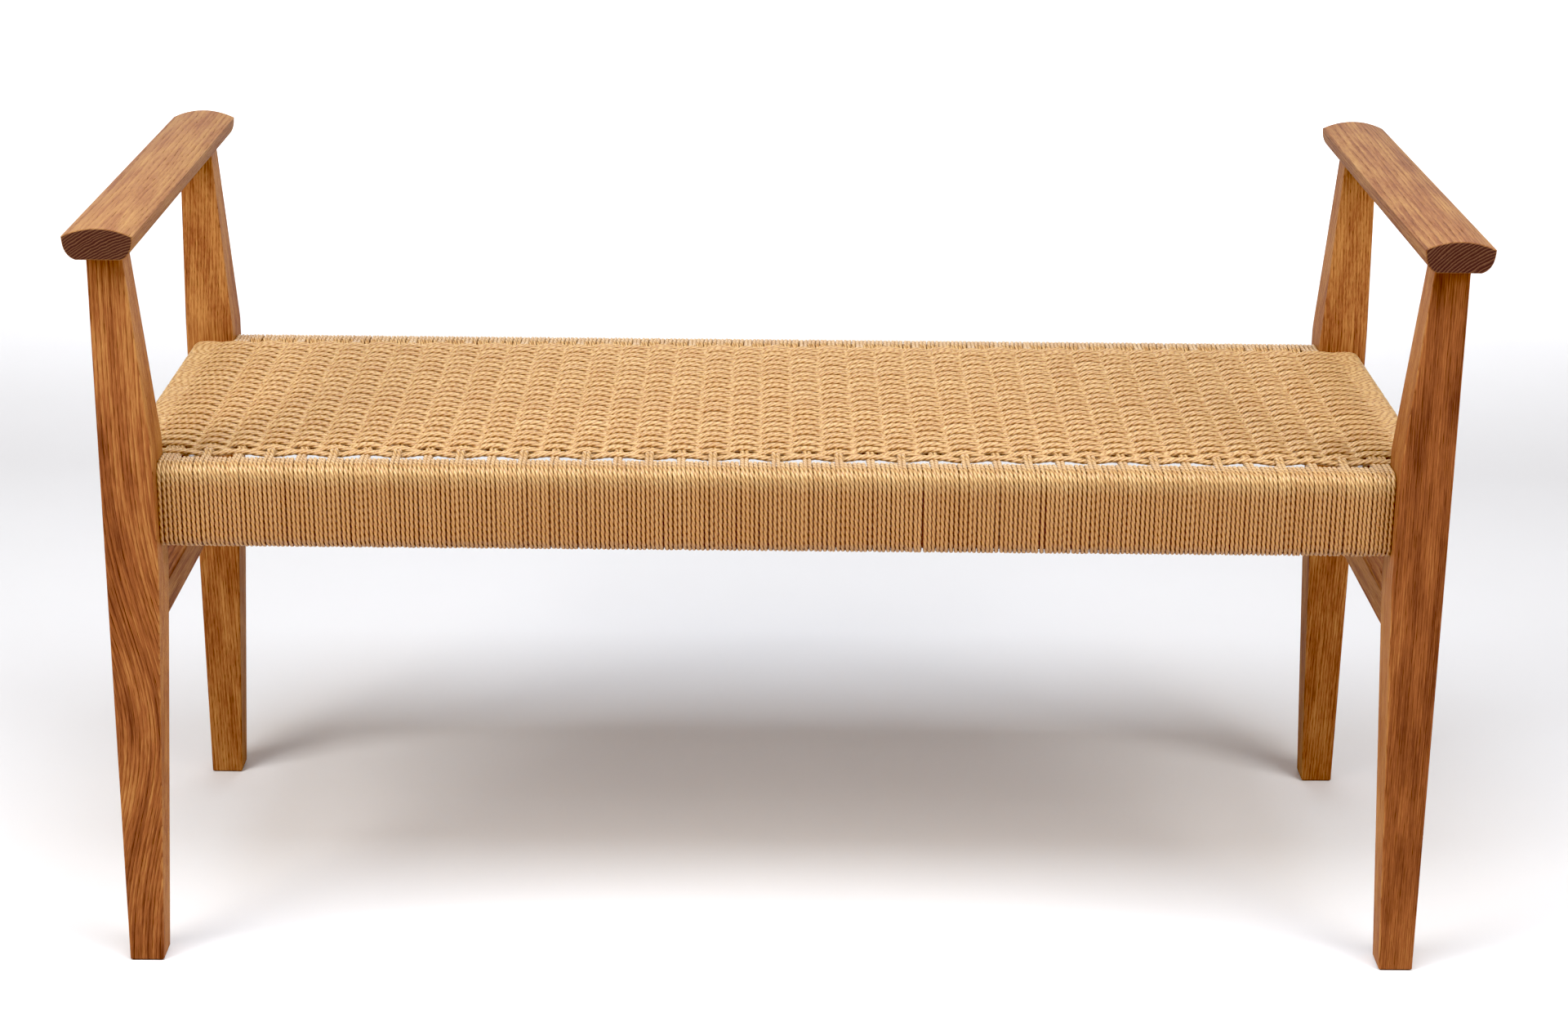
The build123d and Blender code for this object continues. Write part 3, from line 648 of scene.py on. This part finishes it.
def sign(j, g):
    """+1 where weft row j passes over warp group g, -1 where it passes under."""
    return 1 if (j + g) % 2 == 0 else -1


def deck_warp(g):
    y = np.linspace(-ROLL_Y, ROLL_Y, 720)
    knots = np.r_[-ROLL_Y, -174.0, ROW_Y, 177.0, ROLL_Y]
    values = np.r_[ROLL_TOP, ROLL_TOP - 0.1, [DECK_Z - sign(j, g) * CRIMP[j] for j in range(ROWS)], ROLL_TOP - 0.1, ROLL_TOP]
    flats = np.r_[0.0, 0.0, np.full(ROWS, 1.0), 0.0, 0.0]
    return y, through(y, knots, values, flats)


def pair_x(cords):
    """X of the middle of a pair on the seat."""
    return float(np.mean([wrap_x(end, i, np.array([top_s]))[0] for end in (-1, 1) for i in cords]))


def nail_x(cords):
    """X of the nail that this pair hooks on: the pair's place, moved on by half a pitch on its way round the rail."""
    middle = ((cords[0] + cords[1]) / 2 - 135.5) * PITCH_X
    if abs(middle) > 501.0:
        return middle + 0.2
    return middle + (0.7 if abs(middle) > 490.0 else 1.9)


def warp_loop(cords, g, half):
    """half is how far each cord of the pair lies from the pair's middle on the seat."""
    y, z = deck_warp(g)
    sides = []
    for which, i in enumerate(cords):
        s_nail = GIRTH - (ROLL_Z - NAIL_Z)
        parts = []
        for end in (-1, 1):
            s = np.linspace(section_at[-1] * 0.0 + top_s, s_nail, 420)
            u, v = at_girth(s)
            x = wrap_x(end, i, s)
            # over the top the two cords of a pair run side by side to the seat
            line = np.stack([x, u, v], 1)
            # near the nail the loop opens to pass round it
            near = ease((s - (s_nail - 9.0)) / 9.0)
            want = nail_x(cords) + (-2.35 if which == 0 else 2.35)
            line[:, 0] = line[:, 0] * (1 - near) + want * near
            parts.append(to_rail(line, end))
        front, rear = parts
        x_front, x_rear = front[0, 0], rear[0, 0]
        # the pair comes in from its places on the rolls
        settle = ease((y + ROLL_Y) / (2 * ROLL_Y))
        x = x_front + (x_rear - x_front) * settle
        beside = pair_x(cords) + (-half if which == 0 else half)
        close = ease((ROLL_Y - np.abs(y)) / 14.0)
        deck = np.stack([x * (1 - close) + beside * close, y, z], 1)
        sides.append((front, deck, rear))
    def u_turn(a, b, up):
        middle = (a + b) / 2
        half_w = np.linalg.norm(b - a) / 2
        t = np.linspace(0, math.pi, 16)[1:-1]
        out = np.zeros((len(t), 3))
        out[:] = middle
        out += np.cos(t)[:, None] * (a - middle)[None, :]
        out[:, 2] += np.sin(t) * up
        return out
    f0, d0, r0 = sides[0]
    f1, d1, r1 = sides[1]
    return np.vstack([
        u_turn(f1[-1], f0[-1], 2.9),
        f0[::-1], d0[1:-1], r0, u_turn(r0[-1], r1[-1], 2.9), r1[::-1], d1[::-1][1:-1], f1,
    ])


loops = []
for number, cords in enumerate(CARRIED):
    g = 0 if number < 2 else 38 if number > 38 else number - 1
    loops.append(warp_loop(cords, g, 1.74))
lengths = [np.linalg.norm(np.diff(np.vstack([l, l[:1]]), axis=0), axis=1).sum() for l in loops]
count = int(round(np.mean(lengths) / LAY)) * RINGS
loops = [smooth_line(resample(l, count, True)[0], True, 2) for l in loops]
made, along, beside = tubes(loops, True, WRAP_R + rng.normal(0, 0.02, 41), rng.uniform(0, 6.28, 41), 0)
tones = rng.uniform(0.0, 1.0, 41)
for part, pick in enumerate((slice(0, 10), slice(10, 21), slice(21, 31), slice(31, 41))):
    cord_piece(f"warp_{part + 1}", [(made[pick], along[pick], beside[pick], True, tones[pick])], cord)


PAIRS = [-499.05] + [pair_x(cords) for cords in CARRIED[2:39]] + [499.05]

# wefts: each row is a loop of one cord from a nail inside the left rail to a nail inside the right rail
def weft_loop(j):
    x = np.linspace(-ROLL_X + 3.29, ROLL_X - 3.29, 2200)
    give = 3.66 - CRIMP[j]
    knots = np.r_[-ROLL_X + 3.29, PAIRS, ROLL_X - 3.29]
    values = np.r_[ROLL_TOP, [DECK_Z + sign(j, g) * give for g in range(39)], ROLL_TOP]
    flats = np.r_[0.0, [h - 1.6 for h in HALF_GROUP], 0.0]
    z = through(x, knots, values, flats)
    z += 0.10 * np.sin(x / 31.0 + j * 1.7)
    wave = 0.22 * np.sin(x / 83.0 + rng.uniform(0, 6.28)) + 0.12 * np.sin(x / 29.0 + rng.uniform(0, 6.28))
    sides = []
    for which in (-1, 1):
        half = 1.845
        y = np.full_like(x, ROW_Y[j] + which * half) + wave + 0.07 * np.sin(x / 17.0 + rng.uniform(0, 6.28))
        deck = np.stack([x, y, z], 1)
        ends = []
        for hand in (-1, 1):
            s = np.linspace(top_s, GIRTH - (ROLL_Z - NAIL_Z), 420)
            u, v = at_girth(s)
            tip = hand * (ROLL_X - u)
            y_end = y[0] if hand < 0 else y[-1]
            line = np.stack([tip, np.full_like(tip, y_end), v], 1)
            near = ease((s - (s[-1] - 9.0)) / 9.0)
            line[:, 1] = line[:, 1] * (1 - near) + (ROW_0 + ROW_PITCH * j + which * 2.20) * near
            ends.append(line)
        left, right = ends
        sides.append((left, deck, right))
    def u_turn(a, b):
        middle = (a + b) / 2
        t = np.linspace(0, math.pi, 16)[1:-1]
        out = np.zeros((len(t), 3)) + middle
        out += np.cos(t)[:, None] * (a - middle)[None, :]
        out[:, 2] += np.sin(t) * 2.9
        return out
    l0, d0, r0 = sides[0]
    l1, d1, r1 = sides[1]
    return np.vstack([u_turn(l1[-1], l0[-1]), l0[::-1], d0, r0, u_turn(r0[-1], r1[-1]), r1[::-1], d1[::-1], l1])


loops = [weft_loop(j) for j in range(ROWS)]
lengths = [np.linalg.norm(np.diff(np.vstack([l, l[:1]]), axis=0), axis=1).sum() for l in loops]
count = int(round(np.mean(lengths) / LAY)) * RINGS
loops = [smooth_line(resample(l, count, True)[0], True, 3) for l in loops]
made, along, beside = tubes(loops, True, np.full(ROWS, 1.96) + rng.normal(0, 0.015, ROWS), rng.uniform(0, 6.28, ROWS), 1)
tones = rng.uniform(0.0, 1.0, ROWS)
for part in range(8):
    pick = slice(part * 6, min(part * 6 + 6, ROWS))
    cord_piece(f"weft_{part + 1}", [(made[pick], along[pick], beside[pick], True, tones[pick])], cord, 0.12)

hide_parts("front_rail_cord")
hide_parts("rear_rail_cord")
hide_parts("seat_warp")
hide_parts("seat_weft", "left_rail_cord", "right_rail_cord")


# ------------------------------------------------------------------ floor and light
def floor_material():
    s = Shader("studio_floor")
    faint = s.noise(s.add("ShaderNodeTexCoord").outputs["Object"], 3.0, 2.0, 0.5)
    s.plug(s.bsdf.inputs["Base Color"], s.ramp(faint, [(0.3, (0.815, 0.825, 0.842)), (0.7, (0.825, 0.836, 0.854))]))
    s.bsdf.inputs["Roughness"].default_value = 0.9
    s.bsdf.inputs["Specular IOR Level"].default_value = 0.0
    return s.material


mesh = bpy.data.meshes.new("studio_floor")
sweep = [(-14.0, 0.0), (4.4, 0.0)]
sweep += [(4.4 + 0.9 * math.sin(math.radians(q)), 0.9 - 0.9 * math.cos(math.radians(q))) for q in range(5, 91, 5)]
sweep += [(5.3, 4.6)]
mesh.from_pydata(
    [(x, y, z) for y, z in sweep for x in (-7.0, 7.0)], [],
    [(2 * i, 2 * i + 1, 2 * i + 3, 2 * i + 2) for i in range(len(sweep) - 1)])
mesh.polygons.foreach_set("use_smooth", [True] * len(mesh.polygons))
mesh.materials.append(floor_material())
floor = bpy.data.objects.new("studio_floor", mesh)
bpy.context.scene.collection.objects.link(floor)

# A pale backdrop all round, which gives only a low warm fill light.
world = bpy.data.worlds.new("studio")
bpy.context.scene.world = world
world.use_nodes = True
fill = world.node_tree.nodes["Background"]
fill.inputs["Color"].default_value = (1.0, 0.78, 0.62, 1.0)
fill.inputs["Strength"].default_value = 0.15
pale = world.node_tree.nodes.new("ShaderNodeBackground")
pale.inputs["Color"].default_value = (0.86, 0.86, 0.86, 1.0)
seen = world.node_tree.nodes.new("ShaderNodeLightPath")
either = world.node_tree.nodes.new("ShaderNodeMixShader")
world.node_tree.links.new(either.inputs[0], seen.outputs["Is Camera Ray"])
world.node_tree.links.new(either.inputs[1], fill.outputs[0])
world.node_tree.links.new(either.inputs[2], pale.outputs[0])
world.node_tree.links.new(world.node_tree.nodes["World Output"].inputs[0], either.outputs[0])


def softbox(name, place, target, size, watts, colour=(1.0, 1.0, 1.0)):
    light = bpy.data.lights.new(name, "AREA")
    light.shape = "RECTANGLE"
    light.size, light.size_y = size
    light.energy = watts
    light.color = colour
    ob = bpy.data.objects.new(name, light)
    ob.location = place
    ob.rotation_euler = (Vector(target) - Vector(place)).to_track_quat("-Z", "Y").to_euler()
    bpy.context.scene.collection.objects.link(ob)
    return ob


softbox("left_softbox", (-1.80, -1.20, 1.88), (0.0, 0.0, 0.35), (1.2, 1.2), 40.5, (1.0, 0.955, 0.905))
softbox("right_softbox", (1.70, -1.20, 1.84), (0.0, 0.0, 0.35), (1.2, 1.2), 29.0, (1.0, 0.955, 0.905))
softbox("top_softbox", (0.0, -0.95, 2.65), (0.0, -0.15, 0.3), (2.4, 1.3), 66.5, (0.94, 1.0, 1.08))
softbox("background_softbox", (0.0, 2.6, 3.2), (0.0, 5.3, 2.0), (4.6, 1.0), 340.0, (0.98, 0.985, 1.0))
softbox("front_floor_softbox", (0.0, -6.0, 3.0), (0.0, -7.0, 0.0), (8.0, 4.0), 160.0, (1.0, 0.90, 0.80))

bpy.context.scene.view_settings.view_transform = "Standard"
bpy.context.scene.view_settings.look = "None"
bpy.context.scene.view_settings.use_curve_mapping = True
bpy.context.scene.view_settings.curve_mapping.black_level = (0.015, 0.023, 0.025)
